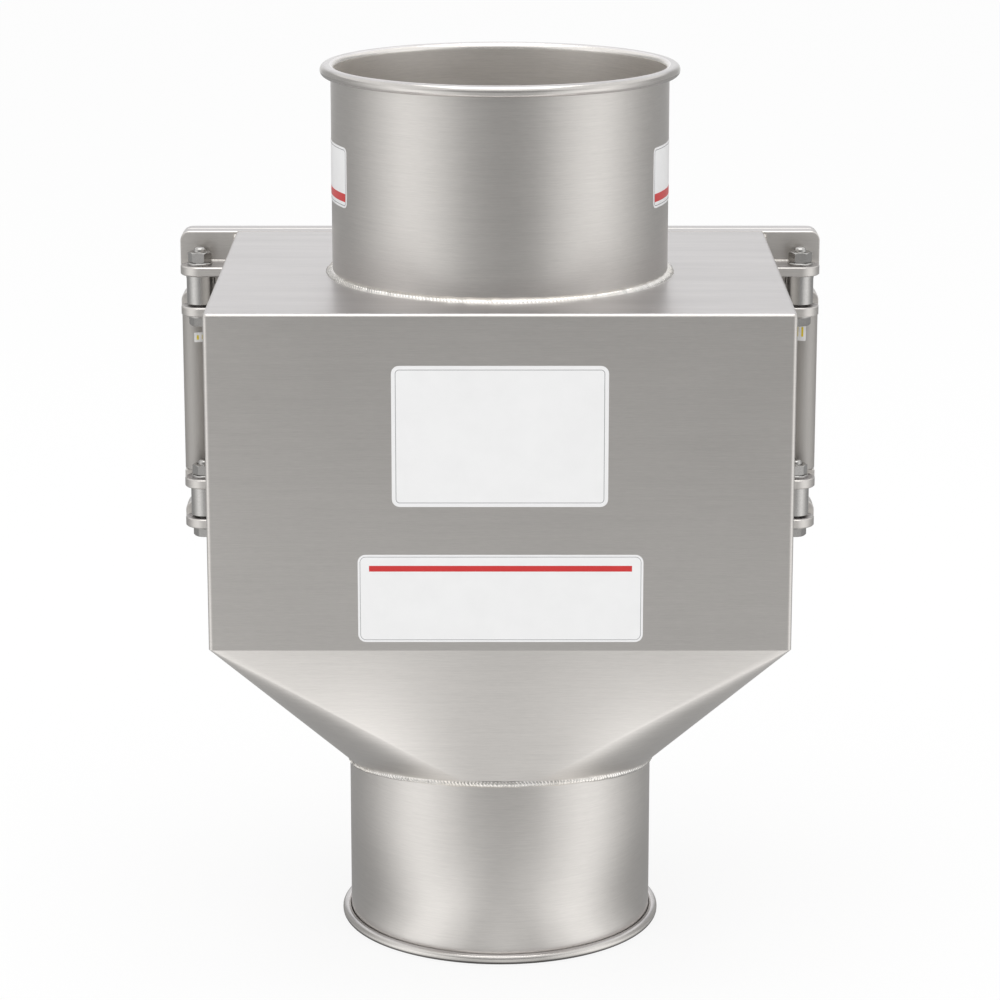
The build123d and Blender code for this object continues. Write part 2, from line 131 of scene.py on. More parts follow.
class Shader(Tree):
    """A node material around one Principled shader."""

    def __init__(self, name, **sockets):
        self.mat = bpy.data.materials.new(name)
        super().__init__(self.mat)
        self.bsdf = self.tree.nodes["Principled BSDF"]
        for socket, value in sockets.items():
            self.bsdf.inputs[socket.replace("_", " ")].default_value = value

    def noise(self, scale, detail=3.0, rough=0.5):
        """Noise in the row frame, stretched by scale."""
        coord = self.node("ShaderNodeTexCoord")
        mapping = self.node("ShaderNodeMapping", in_Scale=scale)
        tex = self.node("ShaderNodeTexNoise", in_Scale=1.0, in_Detail=detail, in_Roughness=rough)
        self.link(coord.outputs["Object"], mapping.inputs["Vector"])
        self.link(mapping.outputs["Vector"], tex.inputs["Vector"])
        return tex.outputs["Fac"]

    def ramp(self, source, stops):
        ramp = self.node("ShaderNodeValToRGB")
        while len(ramp.color_ramp.elements) < len(stops):
            ramp.color_ramp.elements.new(0.5)
        for element, (place, value) in zip(ramp.color_ramp.elements, stops):
            colour = value if isinstance(value, tuple) else (value,) * 3
            element.position, element.color = place, (*colour, 1)
        self.link(source, ramp.inputs["Fac"])
        return ramp.outputs["Color"]

    def leaning(self, least):
        """One where the normal's rise or fall is more than least: 0 is upright, 1 level."""
        normal = self.node("ShaderNodeNewGeometry").outputs["Normal"]
        return self.math("GREATER_THAN", self.math("ABSOLUTE", self.parts(normal)["Z"]), least)

    def facing_axis(self):
        """One where an upright surface looks towards the part's axis."""
        geometry = self.node("ShaderNodeNewGeometry")
        level = self.node("ShaderNodeVectorMath", operation="MULTIPLY")
        level.inputs[1].default_value = (1, 1, 0)
        dot = self.node("ShaderNodeVectorMath", operation="DOT_PRODUCT")
        self.link(geometry.outputs["Position"], level.inputs[0])
        self.link(level.outputs["Vector"], dot.inputs[0])
        self.link(geometry.outputs["Normal"], dot.inputs[1])
        return self.math("LESS_THAN", dot.outputs["Value"], -0.02)

    def bump(self, height, distance, strength):
        made = self.node("ShaderNodeBump", in_Distance=distance, in_Strength=strength)
        self.link(height, made.inputs["Height"])
        self.link(made.outputs["Normal"], self.bsdf.inputs["Normal"])


def shade(colour, by):
    return tuple(min(1.0, c * by) for c in colour)


# How the noise is squeezed along each axis, so that its streaks run the named way
GRAINS = {
    "level": (1, 1, 0),
    "across": (1, 0, 1),
    "upright": (0, 0, 1),
}
GRAIN_LAYERS = ((170, 2700, 2.0), (45, 1500, 2.0), (12, 520, 2.0))    # scale along, across, detail
GRAIN_WEIGHTS = (0.46, 0.34, 0.20)
LEVEL_LEAN, LIP_LEAN = 0.8, 0.05          # where sheet counts as level, and as a rolled lip
LEVEL_PAINTED_LIGHT = (1.03, 1.036, 1.082, 1.0)     # painted light: level sheet is painted a little lighter and cooler than upright sheet
# Painted light: the inside of a spout is painted paler than its outside.
BORE_PAINTED_LIGHT = (1.36, 1.36, 1.36, 1.0)
BORE_DULL = 0.06           # how much rougher the inside is
LIP_GLOSS = 0.13           # how much smoother a rolled lip is


def streaks(s, grain, along, thin, detail):
    """Noise in streaks: along and thin are its scales along the grain and across it."""
    scale = tuple(along if way else thin for way in GRAINS[grain])
    return s.noise(scale, detail=detail, rough=0.6)


def brushed(name, colour=STAINLESS, grain="level", roughness=0.33, contrast=0.075, bore=False):
    """Stainless sheet with a fine directional grain. grain names how the streaks run.

    With bore, the skin that faces the part's axis is duller, and painted paler as painted light, and the
    lip is smoother.
    """
    s = Shader(name, Metallic=1.0)
    layers = []
    for along, thin, detail in GRAIN_LAYERS:
        layer = streaks(s, grain, along, thin, detail)
        if grain == "level":
            layer = s.mix(s.leaning(LEVEL_LEAN), layer, streaks(s, "across", along / 2, thin * 0.3, detail))
        layers.append(layer)
    cloud = s.noise((9, 9, 9), detail=3.0)
    fine, middle, coarse = [s.math("MULTIPLY", *pair) for pair in zip(layers, GRAIN_WEIGHTS)]
    streak = s.math("ADD", s.math("ADD", fine, middle), coarse)
    tone = s.ramp(streak, [(0.30, shade(colour, 1 - contrast)), (0.70, shade(colour, 1 + contrast))])
    smudge = s.ramp(cloud, [(0.3, 0.97), (0.7, 1.0)])
    colour_out = s.mix(1.0, tone, smudge, "MULTIPLY")
    # Level faces get broad belts of grain and are painted lighter and cooler, a painted light from above.
    if grain == "level":
        belts = s.ramp(streaks(s, "across", 4, 42, 3.0), [(0.36, 0.90), (0.64, 1.0)])
        belts_and_painted_light = s.mix(1.0, belts, LEVEL_PAINTED_LIGHT, "MULTIPLY")
        colour_out = s.mix(s.leaning(LEVEL_LEAN), colour_out, s.mix(1.0, colour_out, belts_and_painted_light, "MULTIPLY"))
    if bore:
        inner = s.facing_axis()
        # Painted light: the skin that faces the axis is painted paler.
        painted_paler_inside = s.mix(1.0, colour_out, BORE_PAINTED_LIGHT, "MULTIPLY")
        colour_out = s.mix(inner, colour_out, painted_paler_inside)
        roughness = s.math("ADD", s.math("MULTIPLY", inner, BORE_DULL), roughness)
        roughness = s.math("SUBTRACT", roughness, s.math("MULTIPLY", s.leaning(LIP_LEAN), LIP_GLOSS))
    s.link(colour_out, s.bsdf.inputs["Base Color"])
    rough = s.math("ADD", s.math("MULTIPLY", s.math("SUBTRACT", streak, 0.5), 0.16),
                   s.math("ADD", s.math("MULTIPLY", s.math("SUBTRACT", cloud, 0.5), 0.08), roughness))
    s.link(rough, s.bsdf.inputs["Roughness"])
    s.bump(streak, 0.00003, 0.25)
    return s.mat


def weld_metal(name, colour, roughness):
    """Cooled weld: glassy between its ripples, with a little straw tint."""
    s = Shader(name, Metallic=1.0)
    grain = s.noise((260, 260, 260), detail=2.0)
    heat = s.noise((30, 30, 30), detail=2.0)
    tone = s.ramp(grain, [(0.3, shade(colour, 0.94)), (0.7, shade(colour, 1.06))])
    tint = s.ramp(heat, [(0.35, (0.95, 0.93, 0.90)), (0.65, (1.0, 1.0, 1.0))])
    s.link(s.mix(1.0, tone, tint, "MULTIPLY"), s.bsdf.inputs["Base Color"])
    s.link(s.math("ADD", s.math("MULTIPLY", grain, 0.14), roughness), s.bsdf.inputs["Roughness"])
    s.bump(grain, 0.00004, 0.25)
    return s.mat


def machined(name, colour, roughness, ring=(700, 700, 700)):
    s = Shader(name, Metallic=1.0)
    grain = s.noise(ring, detail=3.0)
    wear = s.noise((60, 60, 60), detail=3.0)
    tone = s.ramp(grain, [(0.3, shade(colour, 0.96)), (0.7, shade(colour, 1.04))])
    dull = s.ramp(wear, [(0.3, 0.93), (0.7, 1.0)])
    s.link(s.mix(1.0, tone, dull, "MULTIPLY"), s.bsdf.inputs["Base Color"])
    s.link(s.math("ADD", s.math("MULTIPLY", wear, 0.18), roughness - 0.09),
           s.bsdf.inputs["Roughness"])
    s.bump(grain, 0.00003, 0.2)
    return s.mat


def rubber():
    s = Shader("gasket_silicone", Roughness=0.62)
    grain = s.noise((260, 260, 260), detail=4.0)
    s.link(s.ramp(grain, [(0.3, (0.74, 0.73, 0.70)), (0.7, (0.84, 0.83, 0.80))]),
           s.bsdf.inputs["Base Color"])
    s.bump(grain, 0.0001, 0.4)
    return s.mat


def moulded_black():
    s = Shader("moulded_black")
    grain = s.noise((900, 900, 900), detail=3.0)
    rub = s.noise((45, 45, 45), detail=3.0)
    s.link(s.ramp(rub, [(0.3, (0.012, 0.012, 0.013)), (0.75, (0.032, 0.032, 0.034))]),
           s.bsdf.inputs["Base Color"])
    s.link(s.math("ADD", s.math("MULTIPLY", grain, 0.16), 0.34), s.bsdf.inputs["Roughness"])
    s.bump(grain, 0.0001, 0.35)
    return s.mat


def vinyl(name, colour):
    """Printed film: a soft gloss with a faint mottle."""
    s = Shader(name, Coat_Weight=0.3, Coat_Roughness=0.12)
    mottle = s.noise((70, 70, 70), detail=3.0)
    s.link(s.ramp(mottle, [(0.3, shade(colour, 0.975)), (0.7, shade(colour, 1.0))]),
           s.bsdf.inputs["Base Color"])
    s.link(s.math("ADD", s.math("MULTIPLY", mottle, 0.08), 0.36), s.bsdf.inputs["Roughness"])
    s.bump(mottle, 0.0002, 0.2)
    return s.mat


LEVEL = brushed("brushed_level")
# Painted light: the hopper's sheet is the same stainless painted 7 % lighter.
PAINTED_LIGHTER = brushed("brushed_painted_lighter", shade(STAINLESS, 1.07))
SPOUT = brushed("brushed_spout", bore=True)
LEVEL_PLATE = brushed("brushed_plate", roughness=0.36)
# Painted shade: the side tubes' sheet is the same stainless painted darker.
UPRIGHT_PAINTED_SHADE = brushed("brushed_upright_painted_shade", shade(STAINLESS, 0.78), grain="upright", roughness=0.60)
SLEEVE = brushed("sleeve_polish", grain="across", roughness=0.22, contrast=0.05)
WELD = weld_metal("weld_bead", (0.84, 0.82, 0.79), 0.14)
GROUND_WELD = weld_metal("ground_weld", (0.62, 0.60, 0.57), 0.30)
FASTENER = machined("fastener_steel", (0.50, 0.49, 0.475), 0.20)
CORE = machined("core_steel", (0.56, 0.55, 0.54), 0.34, (30, 900, 30))
SILICONE = rubber()
BLACK = moulded_black()
WHITE_FILM = vinyl("film_white", (0.86, 0.86, 0.86))
RED_FILM = vinyl("film_red", (0.62, 0.012, 0.012))
GREY_FILM = vinyl("film_grey", (0.30, 0.30, 0.31))
YELLOW_FILM = vinyl("film_yellow", (0.78, 0.60, 0.01))


def paint(material, *names):
    for name in names:
        data = nodes[name].data
        data.materials.clear()
        data.materials.append(material)


def piece(name, bm, material, body, replaces=(), smooth=32.0):
    """Turn a bmesh in the row frame into a piece that rides on a body."""
    bmesh.ops.remove_doubles(bm, verts=bm.verts, dist=1e-7)
    bmesh.ops.recalc_face_normals(bm, faces=bm.faces)
    data = bpy.data.meshes.new(name)
    bm.to_mesh(data)
    bm.free()
    data.shade_smooth()
    data.set_sharp_from_angle(angle=math.radians(smooth))
    for mat in material if isinstance(material, (list, tuple)) else [material]:
        data.materials.append(mat)
    obj = bpy.data.objects.new(name, data)
    scene.collection.objects.link(obj)
    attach(obj, body)
    if replaces:
        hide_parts(*replaces)


def along(axis, origin, flip=False):
    """A matrix that puts local Z on the named row axis at origin."""
    turn = {"z": Matrix.Identity(4), "y": Matrix.Rotation(math.radians(-90), 4, "X")}[axis]
    mirror = Matrix.Rotation(math.pi, 4, "X") if flip else Matrix.Identity(4)
    return Matrix.Translation(origin) @ turn @ mirror


def rings(bm, rows, place, count, closed=True):
    """Skin rows of radii: each row is (radius or function of angle, height or function)."""
    made = []
    for radius, height in rows:
        row = []
        for i in range(count):
            a = 2 * math.pi * i / count
            r = radius(a) if callable(radius) else radius
            h = height(a) if callable(height) else height
            row.append(bm.verts.new(place @ Vector((r * math.cos(a), r * math.sin(a), h))))
        made.append(row)
    pairs = list(zip(made, made[1:]))
    if closed:
        pairs.append((made[-1], made[0]))
    for low, high in pairs:
        for i in range(count):
            j = (i + 1) % count
            bm.faces.new((low[i], low[j], high[j], high[i]))
    return made


def lathe(bm, profile, place, count, closed=True):
    """Revolve (radius, height) points. An open profile is capped at both ends."""
    made = rings(bm, profile, place, count, closed)
    if not closed:
        bm.faces.new(list(reversed(made[0])))
        bm.faces.new(made[-1])


def hex_radius(flats):
    def radius(a):
        step = math.radians(60)
        off = (a + step / 2) % step - step / 2
        return flats / 2 / math.cos(off)
    return radius


def hexagon(bm, place, height, bore, both=True, turn=0.0, count=72):
    """A chamfered hexagon nut or head. With no bore it is closed."""
    outer = hex_radius(HEX_FLATS)
    touch = HEX_FLATS / 2 * 0.985
    slope = math.tan(math.radians(30))
    place = place @ Matrix.Rotation(turn, 4, "Z")
    low = (lambda a: (outer(a) - touch) * slope) if both else 0.0
    rows = [(touch if both else outer, 0.0), (outer, low),
            (outer, lambda a: height - (outer(a) - touch) * slope), (touch, height)]
    if bore:
        rim = bore + BORE_EDGE
        rows += [(rim, height), (bore, height - BORE_EDGE), (bore, BORE_EDGE), (rim, 0.0)]
        rings(bm, rows, place, count)
    else:
        lathe(bm, rows, place, count, closed=False)


def thread(bm, place, radius, length, count=28, tip=0.0008):
    """A threaded rod: a helical ridge, with a chamfered end of length tip."""
    depth = THREAD_PITCH * 0.5
    steps = max(4, int(length / THREAD_PITCH * 5))

    def ridge(z):
        def at(a):
            phase = (z / THREAD_PITCH - a / (2 * math.pi)) % 1.0
            cut = depth * (1 - abs(2 * phase - 1))
            end = max(0.0, tip - (length - z))
            return radius - min(depth, cut) - end * 0.7
        return at
    rows = [(ridge(length * i / steps), length * i / steps) for i in range(steps + 1)]
    lathe(bm, rows, place, count, closed=False)


BEAD_ARCS = 8              # steps over a bead
BEAD_WANDER = 0.16         # how much its width varies
BEAD_ROOT = 0.0003         # how far it reaches into the corner
RIPPLE_PITCH = 0.0021
RIPPLE_DEPTH = 0.62        # as a share of its bulge


def bead(bm, points, firsts, seconds, leg, bulge, closed=False):
    """A rippled weld bead in a corner. Each point has the directions of the corner's two sides."""
    rows = []
    run = 0.0
    last = points[0]
    for point, first, second in zip(points, firsts, seconds):
        run += (point - last).length
        last = point
        outward = (first + second).normalized()
        wander = 1 + BEAD_WANDER * noise.noise(point * 160)
        row = []
        for j in range(BEAD_ARCS + 1):
            t = j / BEAD_ARCS
            crest = math.sin(math.pi * t)
            phase = (run / RIPPLE_PITCH + 0.9 * t + 0.35 * noise.noise(point * 220)) % 1.0
            ripple = RIPPLE_DEPTH * bulge * crest * (1 - phase) ** 1.8
            flat = first * ((1 - t) * leg * wander) + second * (t * leg * wander)
            row.append(bm.verts.new(point + flat + outward * (bulge * wander * crest - ripple)))
        row.append(bm.verts.new(point - outward * BEAD_ROOT))
        rows.append(row)
    size = BEAD_ARCS + 2
    pairs = list(zip(rows, rows[1:]))
    if closed:
        pairs.append((rows[-1], rows[0]))
    for a, b in pairs:
        for j in range(size):
            k = (j + 1) % size
            bm.faces.new((a[j], a[k], b[k], b[j]))
    if not closed:
        bm.faces.new(list(reversed(rows[0])))
        bm.faces.new(rows[-1])


def straight_bead(bm, start, end, first, second, leg, step=0.0005):
    start, end = Vector(start), Vector(end)
    count = max(4, int((end - start).length / step))
    points = [start.lerp(end, i / count) for i in range(count + 1)]
    bead(bm, points, [Vector(first)] * len(points), [Vector(second)] * len(points), leg, leg * 0.3)


FILM_STEP = 0.003          # the widest step of a film along its run
FIELD_CORNER = 0.0003      # the smallest corner of a printed field
LINE_CORNER = 0.0004       # and of a printed line


def film_columns(width, height, corner):
    """Places across a round-cornered sheet, each with half its height there."""
    turns = [math.radians(a) for a in range(0, 91, 15)]
    ends = [(corner * (1 - math.cos(a)), height / 2 - corner * (1 - math.sin(a))) for a in turns]
    count = max(1, int((width - 2 * corner) / FILM_STEP))
    run = [(corner + (width - 2 * corner) * i / count, height / 2) for i in range(1, count)]
    mirror = [(width - u, h) for u, h in reversed(ends)]
    return [(u - width / 2, h) for u, h in ends + run + mirror]


def film(bm, surface, columns, lift, index, low=None, high=None):
    """A sheet of film over a surface, between two levels, with its rim turned down."""
    rows = []
    for u, half in columns:
        bottom = -half if low is None else max(-half, low)
        top = half if high is None else min(half, high)
        if top <= bottom:
            continue
        rows.append([bm.verts.new(surface(u, v, out)) for v, out in
                     ((bottom, 0.0), (bottom, lift), (top, lift), (top, 0.0))])
    faces = []
    for a, b in zip(rows, rows[1:]):
        for j in range(4):
            k = (j + 1) % 4
            faces.append(bm.faces.new((a[j], b[j], b[k], a[k])))
    faces += [bm.faces.new(list(reversed(rows[0]))), bm.faces.new(rows[-1])]
    for face in faces:
        face.material_index = index


def rim_points(width, height, corner, runs):
    """The rim of a round-cornered sheet. runs says how many steps its straight sides get."""
    corners = []
    for cx, cy, first in ((1, 1, 0), (-1, 1, 90), (-1, -1, 180), (1, -1, 270)):
        turns = [math.radians(a) for a in range(first, first + 91, 15)]
        corners.append([(cx * (width / 2 - corner) + corner * math.cos(t),
                         cy * (height / 2 - corner) + corner * math.sin(t)) for t in turns])
    points = []
    for index, arc in enumerate(corners):
        start, end = arc[-1], corners[(index + 1) % 4][0]
        count = runs[index % 2]
        points += arc
        points += [(start[0] + (end[0] - start[0]) * i / count,
                    start[1] + (end[1] - start[1]) * i / count) for i in range(1, count)]
    return points


def rule(bm, surface, size, corner, inset, width, lift, index):
    """A thin printed line that runs round a sheet at an inset from its rim."""
    runs = [max(1, int(side / FILM_STEP)) for side in size]
    rims = []
    sunk = FILM_T / 2
    for extra, out in ((inset, lift), (inset + width, lift), (inset + width, sunk), (inset, sunk)):
        rim = rim_points(size[0] - 2 * extra, size[1] - 2 * extra, max(corner - extra, LINE_CORNER), runs)
        rims.append([bm.verts.new(surface(u, v, out)) for u, v in rim])
    for outer, inner in zip(rims, rims[1:] + rims[:1]):
        for i in range(len(outer)):
            j = (i + 1) % len(outer)
            face = bm.faces.new((outer[i], outer[j], inner[j], inner[i]))
            face.material_index = index


# CAD nodes that keep their own mesh
paint(LEVEL, "housing")
paint(LEVEL_PLATE, "runner_left", "runner_right")
paint(SLEEVE, *[n for n in nodes if n.startswith("magnet_sleeve")])
paint(CORE, *[n for n in nodes if n.startswith("magnet_core")])
paint(FASTENER, "puller_handle", "door_grip_left", "door_grip_right")
paint(SILICONE, "door_gasket")


# Spouts with their lips curled back to the tube
LIP_SEAM = 0.0006          # between the curled lip and its tube
LIP_RUN = 0.0012           # the straight stretch between the lip's bend and the tube
SCRIBE_FOOT = 0.099        # all of the outlet's scribed end is above this
RIM_SLACK = 0.0002         # how far a vertex of the rim may lie off its radius
RING = 320                 # points round a spout
INLET_LIP = (0.1063, 0.0013, 0.0001)      # radius over the lip, inner bend, drop to the curl
OUTLET_LIP = (0.0978, 0.0008, 0.0006)


def arc(across, deep, radius, start, end, steps=8):
    """Points on an arc from start to end, in degrees."""
    turns = [math.radians(start + (end - start) * i / steps) for i in range(steps + 1)]
    return [(across + radius * math.cos(t), deep + radius * math.sin(t)) for t in turns]


def rim_levels(node, radius, count):
    """Levels of a spout's far end round the tube, read from its mesh."""
    rim = []
    for vertex in nodes[node].data.vertices:
        x, y, z = vertex.co
        if z > SCRIBE_FOOT and abs(math.hypot(x, y) - radius) < RIM_SLACK:
            rim.append((math.atan2(y, x) % (2 * math.pi), z))
    rim.sort()
    rim = [(rim[-1][0] - 2 * math.pi, rim[-1][1])] + rim + [(rim[0][0] + 2 * math.pi, rim[0][1])]
    levels = []
    place = 0
    for i in range(count):
        a = 2 * math.pi * i / count
        while rim[place + 1][0] < a:
            place += 1
        (a0, z0), (a1, z1) = rim[place], rim[place + 1]
        levels.append(z0 + (z1 - z0) * (a - a0) / max(a1 - a0, 1e-9))
    for _ in range(count // 160):
        levels = [(levels[i - 1] + 2 * levels[i] + levels[(i + 1) % count]) / 4 for i in range(count)]
    return levels


def lipped_tube(node, outer, lip, bend, drop, level, ends):
    """A spout whose lip is rolled outwards and curled back until just short of the tube.

    level turns a depth below the mouth into a level, and ends gives the far end's levels
    at the inner and the outer skin.
    """
    inner = outer - WALL
    roll = bend + WALL
    deep = roll + drop
    seam = math.degrees(math.acos((outer + LIP_SEAM - lip + roll) / roll))
    profile = [(inner, roll + LIP_RUN)] + arc(inner + roll, roll, roll, 180, 270)
    profile += arc(lip - roll, roll, roll, 270, 360) + arc(lip - roll, deep, roll, 0, seam, 14)
    profile += arc(lip - roll, deep, bend, seam, 0, 10) + arc(lip - roll, roll, bend, 360, 270, 4)
    profile += arc(inner + roll, roll, bend, 270, 180, 4) + [(outer, deep + LIP_RUN)]
    rows = [(inner, ends[0])] + [(radius, level(depth)) for radius, depth in profile]
    bm = bmesh.new()
    rings(bm, rows + [(outer, ends[1])], Matrix.Identity(4), RING)
    piece(f"{node}_curled", bm, SPOUT, "frame", [node])


def around(levels):
    """The levels as a function of the angle."""
    return lambda a: levels[round(a / (2 * math.pi) * len(levels)) % len(levels)]


lipped_tube("inlet_spout", INLET_R, *INLET_LIP, lambda depth: cad_high[2] - depth, (BOX_TOP, BOX_TOP))
lipped_tube("outlet_spout", OUTLET_R, *OUTLET_LIP, lambda depth: depth,
            [around(rim_levels("outlet_spout", r, RING)) for r in (OUTLET_R - WALL, OUTLET_R)])


# Hopper of four flat triangles and four cones that fan out from the box's corners
HOPPER_FOLD = 0.0025       # radius of the box's corners at its foot
HOPPER_FOLD_MIN = 0.0005   # the same at the inner skin
HOPPER_FLATS = (8, 13)     # half the angle that a flat takes at the outlet: at the sides, in front
HOPPER_TUCK = 0.0002       # how far its foot stands inside the outlet's skin


def base_point(turn, half, fold, flats):
    """The point of the box's foot that a ruling starts from, for its angle at the outlet."""
    quarter, within = divmod(turn, 90)
    facing_x = quarter % 2 == 0
    first, last = flats if facing_x else flats[::-1]
    cx, cy = half[0] - fold, half[1] - fold
    sx, sy = ((1, 1), (-1, 1), (-1, -1), (1, -1))[int(quarter)]
    if within < first:
        share = within / first
        x, y = (cx + fold, share * cy) if facing_x else (share * cx, cy + fold)
    elif within > 90 - last:
        share = (90 - within) / last
        x, y = (share * cx, cy + fold) if facing_x else (cx + fold, share * cy)
    else:
        bend = 90 * (within - first) / (90 - first - last)
        bend = math.radians(bend if facing_x else 90 - bend)
        x, y = cx + fold * math.cos(bend), cy + fold * math.sin(bend)
    return x * sx, y * sy


def hopper_skin(inset, levels, steps=18):
    """Rows of points from the box's foot down to the outlet."""
    rows = []
    half = (BOX_X - inset, BOX_Y - inset)
    fold = max(HOPPER_FOLD - inset, HOPPER_FOLD_MIN)
    radius = OUTLET_R - HOPPER_TUCK - inset
    count = len(levels)
    for j in range(steps + 1):
        share = j / steps
        row = []
        for i, level in enumerate(levels):
            a = 2 * math.pi * i / count
            x, y = base_point(360 * i / count, half, fold, HOPPER_FLATS)
            low = Vector((radius * math.cos(a), radius * math.sin(a), level))
            row.append(Vector((x, y, BOX_FOOT)).lerp(low, share))
        rows.append(row)
    return rows


def hopper():
    bm = bmesh.new()
    levels = rim_levels("outlet_spout", OUTLET_R, 720)
    rows = hopper_skin(0.0, levels) + list(reversed(hopper_skin(WALL, levels)))
    made = [[bm.verts.new(point) for point in row] for row in rows]
    for upper, lower in zip(made, made[1:] + made[:1]):
        for i in range(len(levels)):
            j = (i + 1) % len(levels)
            bm.faces.new((upper[i], upper[j], lower[j], lower[i]))
    # Its sheet is painted lighter, a painted light.
    piece("hopper_folded", bm, PAINTED_LIGHTER, "frame", ["hopper"], smooth=24)


hopper()


# Weld beads
OUTWARDS = {"left": Vector((-1, 0, 0)), "right": Vector((1, 0, 0))}
UP = Vector((0, 0, 1))
DOWN = Vector((0, 0, -1))
FRONT = Vector((0, -1, 0))
INLET_LEG, INLET_BULGE = 0.0024, 0.0009
INLET_SPREAD = 1.6         # how much wider than high the inlet's bead lies on the box
OUTLET_LEG, OUTLET_BULGE = 0.0021, 0.0012
HOPPER_UP, HOPPER_OUT = 0.9, 0.43     # the way that the hopper rises from the outlet
LUG_LEG = 0.0009
FLANGE_LEG = 0.0018
LUG_FRONT = 0.1135         # the front end of the lugs' beads on the housing
EAR_END = 0.184            # the outer end of their beads on the flange
BEAD_INSET = (0.002, 0.0015)      # from the box's foot and top to the ends of the flange's beads
SEAM_LAP = 0.0006          # how far the ground seam reaches over the box, and
SEAM_FOOT = 0.0004         # how far its foot reaches into the flange
SEAM_END = 0.001           # and how far short of the box's sides it ends


def ring_directions(count):
    turns = [2 * math.pi * i / count for i in range(count)]
    return [Vector((math.cos(a), math.sin(a), 0)) for a in turns]


def inlet_bead():
    bm = bmesh.new()
    outs = ring_directions(2100)
    points = [out * INLET_R + UP * BOX_TOP for out in outs]
    bead(bm, points, [out * INLET_SPREAD for out in outs], [UP] * len(outs), INLET_LEG, INLET_BULGE,
         closed=True)
    piece("inlet_bead", bm, WELD, "frame", ["inlet_weld"], smooth=60)


def outlet_bead():
    bm = bmesh.new()
    outs = ring_directions(1900)
    levels = rim_levels("outlet_spout", OUTLET_R, len(outs))
    points = [out * OUTLET_R + UP * level for out, level in zip(outs, levels)]
    slopes = [(UP * HOPPER_UP + out * HOPPER_OUT).normalized() for out in outs]
    bead(bm, points, [DOWN] * len(outs), slopes, OUTLET_LEG, OUTLET_BULGE, closed=True)
    piece("outlet_bead", bm, WELD, "frame", ["outlet_weld"], smooth=60)


def lug_beads(row, hand):
    """Short beads where the lugs of a pair meet the flange and the housing."""
    bm = bmesh.new()
    out = OUTWARDS[hand]
    side = SIDES[hand]
    for level in (PAIR_Z[row] + LUG_REACH - LUG_T, PAIR_Z[row] - LUG_REACH):
        for z, away in ((level, DOWN), (level + LUG_T, UP)):
            corner = (side * BOX_X, BOX_Y, z)
            straight_bead(bm, (side * BOX_X, LUG_FRONT, z), corner, out, away, LUG_LEG)
            straight_bead(bm, corner, (side * EAR_END, BOX_Y, z), FRONT, away, LUG_LEG)
    piece(f"lug_beads_{row}_{hand}", bm, GROUND_WELD, "frame", smooth=60)


def flange_bead(hand):
    """The bead between the housing's side wall and the flange."""
    bm = bmesh.new()
    side = SIDES[hand]
    low, high = BOX_FOOT + BEAD_INSET[0], BOX_TOP - BEAD_INSET[1]
    straight_bead(bm, (side * BOX_X, BOX_Y, low), (side * BOX_X, BOX_Y, high), OUTWARDS[hand], FRONT,
                  FLANGE_LEG)
    piece(f"flange_bead_{hand}", bm, WELD, "frame", smooth=60)


def flange_seam(reach=0.0014, sink=0.00002):
    """The weld between the box's top and the flange, ground flush."""
    bm = bmesh.new()
    outline = [(BOX_Y - SEAM_LAP, BOX_TOP - reach), (BOX_Y - SEAM_LAP, BOX_TOP - sink),
               (BOX_Y + reach, BOX_TOP - sink), (BOX_Y + SEAM_FOOT, BOX_TOP - reach)]
    ends = [[bm.verts.new((x, y, z)) for y, z in outline] for x in (-BOX_X + SEAM_END, BOX_X - SEAM_END)]
    bm.faces.new(ends[0])
    bm.faces.new(ends[1])
    for i in range(4):
        j = (i + 1) % 4
        bm.faces.new((ends[0][i], ends[0][j], ends[1][j], ends[1][i]))
    piece("flange_seam", bm, LEVEL, "frame")


inlet_bead()
outlet_bead()
flange_seam()
for hand in SIDES:
    flange_bead(hand)
    for row in PAIR_Z:
        lug_beads(row, hand)


# Fasteners
WASHER_R = 0.008
KNOB_WASHER_R = 0.012
WASHER_EDGE = 0.0003
WASHER_ROOM = 0.0004       # between a washer and the thread in it
SHANK_SLACK = 0.00002      # how much thinner the plain shank is than the thread
SHANK_LAP = 0.001          # how far it reaches into its head and into its nut
THREAD_LAP = 0.0005        # where the thread starts above the nut's foot
THREAD_PROUD = 0.0012      # how far it stands over the nut
BOLT_END = [(0.00385, 0.0), (0.00385, 0.0013), (0.0036, 0.0020), (0.0030, 0.0026), (0.0020, 0.0030),
            (0.0008, 0.0032)]
EYE_R = 0.0086
EYE_EDGE = 0.0006
NECK_R = 0.0039
NECK_START, NECK_END = 0.0055, 0.024      # the plain stretch of a swing bolt, from its pivot
KNOB_R = 0.0125
KNOB_NECK = 0.005
SCALLOP_RIM = 0.0005       # how far from a scallop's rim the outline is blended
SCALLOP_BLEND = 0.00012
BAR_PITCH = 0.055
BAR_ROWS = ((5, 0.3365), (4, 0.2765))     # the bars of a row and their level
CAP_HEX = 0.0045           # the hexagon's height below the dome
CAP_R = 0.0058
CAP_SUNK = 0.0002          # how far the dome reaches into the hexagon


def round_rows(radius, length, edge, bore=0.0):
    """The profile of a turned ring or disc with broken edges."""
    rows = [(radius - edge, 0.0), (radius, edge), (radius, length - edge), (radius - edge, length)]
    if bore:
        rows += [(bore + edge, length), (bore, length - edge), (bore, edge), (bore + edge, 0.0)]
    return rows


def pivots():
    for row, level in PAIR_Z.items():
        for side in SIDES.values():
            yield side * PIVOT_X, level - LUG_REACH, level + LUG_REACH


